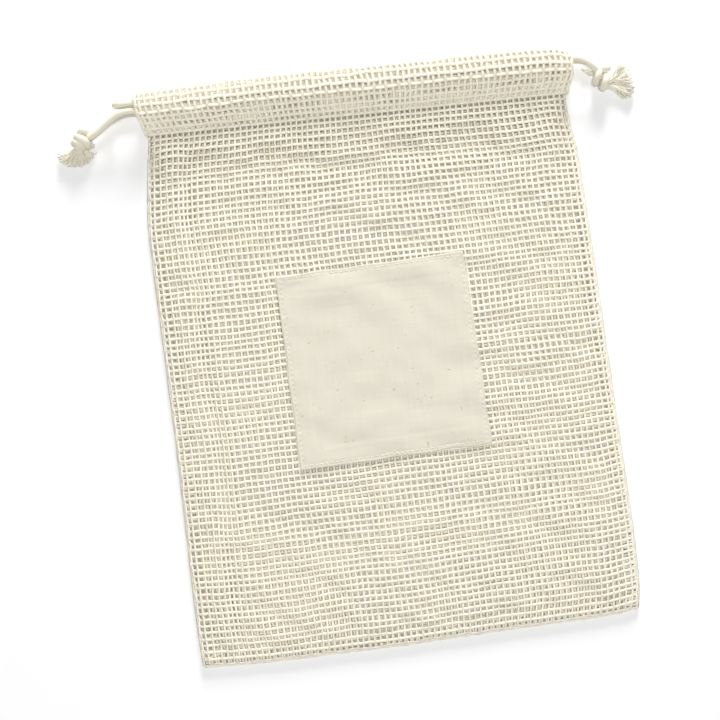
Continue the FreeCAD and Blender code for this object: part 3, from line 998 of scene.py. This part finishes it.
def casing_points(top_points, z, seed, upside_down):
    """Crossings of a casing's net, by column and row; its columns carry on from the panel's."""
    rng = np.random.default_rng(seed)
    section = np.array(CASING_SECTION)
    run = np.concatenate([[0], np.cumsum(np.linalg.norm(np.diff(section, axis=0), axis=1))])
    at = np.linspace(0, run[-1], CASING_ROWS)
    y = np.interp(at, run, section[:, 0])
    h = np.interp(at, run, section[:, 1])
    foot_x = top_points[:, -1, 0]
    u = (foot_x - foot_x[0]) / (foot_x[-1] - foot_x[0])
    y_grid = np.repeat(y[None], COLUMNS, 0)
    row = np.arange(CASING_ROWS)
    facing = smooth((row - 9) / 2) * smooth((CASING_ROWS - 1 - row) / 2)
    left = on_curve(CASING_LEFT, y_grid) + LEFT_SLIT * facing
    right = on_curve(CASING_RIGHT, y_grid) - RIGHT_SLIT * facing
    x = left + (right - left) * u[:, None]
    free = smooth((y_grid + 13.5) / 8)
    across, up = Ripple(seed, 12, 40), Ripple(seed + 1, 9, 30)
    for end, sign in ((left, 1), (right, -1)):
        inward = sign * (x - end)
        x = x - sign * 3.5 * (1 - np.exp(-inward / 8)) * np.exp(-inward / 40) * free
    x = x + free * (0.5 * across(x, 3 * y_grid) + rng.normal(0, 0.15, x.shape))
    y_grid = y_grid + np.interp(x, *np.array(CASING_RISE).T) * smooth((y_grid + 8) / 20)
    y_grid = y_grid + free * (0.45 * up(x, 2 * y_grid) + rng.normal(0, 0.12, x.shape))
    y_grid = y_grid - 2.0 * smooth((y_grid - 2) / 10) * np.exp(-(((right - x) / 6) ** 2))
    h_grid = np.repeat(h[None], COLUMNS, 0) + 0.15 * free * Ripple(seed + 2, 15, 40)(x, y_grid)
    if upside_down:
        h_grid = 8.1 - np.maximum(h_grid, 0.7)
    return in_casing(x, y_grid, z + h_grid)


def casing_net(name, top_points, z, seed, upside_down, nodes):
    points = casing_points(top_points, z, seed, upside_down)
    row_width = 1.22 + 0.20 * smooth((np.arange(CASING_ROWS) - 8) / 2)
    yarns = net(points, 0.2, 6, 6, warp_outside=CASING_FOLD_ROWS, row_width=row_width)
    piece = new_piece(name, yarns, NET_COTTON, "bag", nodes)
    return piece


FRONT_CASING_Z = underside("front_casing")
BACK_CASING_Z = underside("back_casing")
casing_net("front_casing_net", front_points, FRONT_CASING_Z, 83, False, ("front_casing",))
casing_net("back_casing_net", back_points, BACK_CASING_Z, 97, True, ("back_casing",))


STITCH_PITCH = 3.6
STITCH_LENGTH = 2.7
STITCH_WIDTH = 0.62


def stitch_tubes(starts, ends, lift):
    """Thread stitches from start to end, bowed up a little in their middles."""
    t = np.linspace(0, 1, 5)[None, :, None]
    starts, ends = np.asarray(starts, float)[:, None], np.asarray(ends, float)[:, None]
    paths = starts + (ends - starts) * t
    paths[..., 2] += lift * np.sin(math.pi * t[..., 0]) ** 0.5
    width = STITCH_WIDTH * np.array([0.6, 1, 1.05, 1, 0.6])
    flat = ends[:, 0] - starts[:, 0]
    mostly_x = abs(flat[:, 0]).sum() > abs(flat[:, 1]).sum()
    return closed_tubes(paths, width[None], width[None], Y_WAY if mostly_x else X_WAY, 6)


def casing_stitches(name, z, node):
    x = np.arange(-146, 145, STITCH_PITCH)
    y = -12.2 + 0.25 * Ripple(5, 15, 40)(x, 0 * x)
    starts = in_casing(x, y, z)
    ends = in_casing(x + STITCH_LENGTH, y + 0.1, z)
    return new_piece(name, [stitch_tubes(starts, ends, 0.45)], THREAD, "bag", (node,))


FRONT_STITCHES_Z = FRONT_CASING_Z - 0.5
BACK_STITCHES_Z = 7.4
casing_stitches("front_casing_stitches", FRONT_STITCHES_Z, "front_casing_stitching")
casing_stitches("back_casing_stitches", BACK_STITCHES_Z, "back_casing_stitching")


# ---------------------------------------------------------------- patch

PATCH_CORNERS = np.array([(-71.1, -74.4), (65.9, -71.9), (62.3, 65.7), (-71.9, 64.0)])
PATCH_POINTS = 110
PATCH_SIZE = 137.0
PATCH_HEM = 13.5
PATCH_SEAM_IN = 2.8                 # how far inside the patch's edge its stitches run


def patch_place(u, v):
    """A place on the patch, from its sides' shares, with its slightly uneven edges."""
    a, b, c, d = PATCH_CORNERS
    x = (a[0] * (1 - u) + b[0] * u) * (1 - v) + (d[0] * (1 - u) + c[0] * u) * v
    y = (a[1] * (1 - u) + b[1] * u) * (1 - v) + (d[1] * (1 - u) + c[1] * u) * v
    edge_x = 0.45 * Ripple(7, 25, 60)(x, y) * (2 * abs(u - 0.5)) ** 4
    edge_y = 0.45 * Ripple(8, 25, 60)(x, y) * (2 * abs(v - 0.5)) ** 4
    return x + edge_x, y + edge_y


def patch_top(x, y, inside):
    """Height of the patch's upper face over the front net's middle."""
    hem = 0.20 * (1 - smooth((inside - PATCH_HEM + 0.8) / 1.6))
    edge = np.clip(inside / 0.9, 0, 1)
    rounding = 0.55 * (1 - np.sqrt(np.clip(1 - (1 - edge) ** 2, 0, 1)))
    seam = 0.38 * np.exp(-((inside - PATCH_SEAM_IN) / 0.75) ** 2)
    slack = smooth((inside - 2) / 10)
    soft = 0.22 * Ripple(17, 40, 95)(x, y) + 0.07 * Ripple(18, 12, 28)(x, y)
    puckers = 0.12 * Ripple(19, 5, 9)(x, y) * np.exp(-((inside - 3) / 3.5) ** 2)
    return 1.55 + hem - rounding - seam + slack * soft + puckers


def smoothed_front():
    """The front net's own surface as a function of place, without its yarns."""
    x_at = np.median(front_points[..., 0], axis=1)
    y_at = np.median(front_points[..., 1], axis=0)
    soft = front_points[..., 2]
    for _ in range(3):
        padded = np.pad(soft, 1, mode="edge")
        soft = (
            padded[:-2, 1:-1] + padded[2:, 1:-1] + padded[1:-1, :-2] + padded[1:-1, 2:] + 2 * soft
        ) / 6
    return lambda x, y: sampled(x_at, y_at, soft, x, y)


front_surface = smoothed_front()


def patch():
    """The patch as one closed sheet, with its hem as a thicker border."""
    t = np.linspace(0, 1, PATCH_POINTS)
    edge = np.array([0.0015, 0.004, 0.0075])
    t = np.sort(np.concatenate([t, edge, 1 - edge]))
    u, v = np.meshgrid(t, t, indexing="ij")
    x, y = patch_place(u, v)
    inside = PATCH_SIZE * np.minimum(np.minimum(u, 1 - u), np.minimum(v, 1 - v))
    base = front_surface(x, y)
    top = np.stack([x, y, base + patch_top(x, y, inside)], -1)
    under = np.stack([x, y, base + 0.95], -1)
    under[..., 2] = np.minimum(under[..., 2], top[..., 2] - 0.12)
    count = len(t)
    index = np.arange(count * count).reshape(count, count)
    quads = np.stack([index[:-1, :-1], index[1:, :-1], index[1:, 1:], index[:-1, 1:]], -1).reshape(-1, 4)
    rim = np.concatenate([index[:-1, 0], index[-1, :-1], index[:0:-1, -1], index[0, :0:-1]])
    after = np.roll(rim, -1)
    low = count * count
    sides = np.stack([after, rim, rim + low, after + low], -1)
    faces = np.concatenate([quads, quads[:, ::-1] + low, sides])
    vertices = np.concatenate([top.reshape(-1, 3), under.reshape(-1, 3)])
    piece = new_piece(
        "patch", [(vertices, faces)], PATCH_COTTON, "bag", ("patch_panel", "patch_hem")
    )
    return piece


def patch_stitches():
    starts, ends = [], []
    for side in range(4):
        a, b = PATCH_CORNERS[side], PATCH_CORNERS[(side + 1) % 4]
        way = (b - a) / np.linalg.norm(b - a)
        inward = np.array([-way[1], way[0]])
        run = np.linalg.norm(b - a) - 2 * PATCH_SEAM_IN
        for k in range(int(run / STITCH_PITCH)):
            at = a + way * (PATCH_SEAM_IN + k * STITCH_PITCH + 0.4) + inward * PATCH_SEAM_IN
            starts.append(at)
            ends.append(at + way * STITCH_LENGTH)
    starts, ends = np.array(starts), np.array(ends)
    way = abs(ends - starts)
    level = way[:, 0] > way[:, 1]
    parts = []
    for chosen in (level, ~level):
        places = []
        for x, y in (starts[chosen].T, ends[chosen].T):
            z = front_surface(x, y) + patch_top(x, y, PATCH_SEAM_IN + 0 * x) + 0.02
            places.append(np.column_stack([x, y, z]))
        parts.append(stitch_tubes(*places, 0.22))
    return new_piece("patch_stitches", parts, THREAD, "bag", ("patch_stitching",))


patch()
patch_stitches()
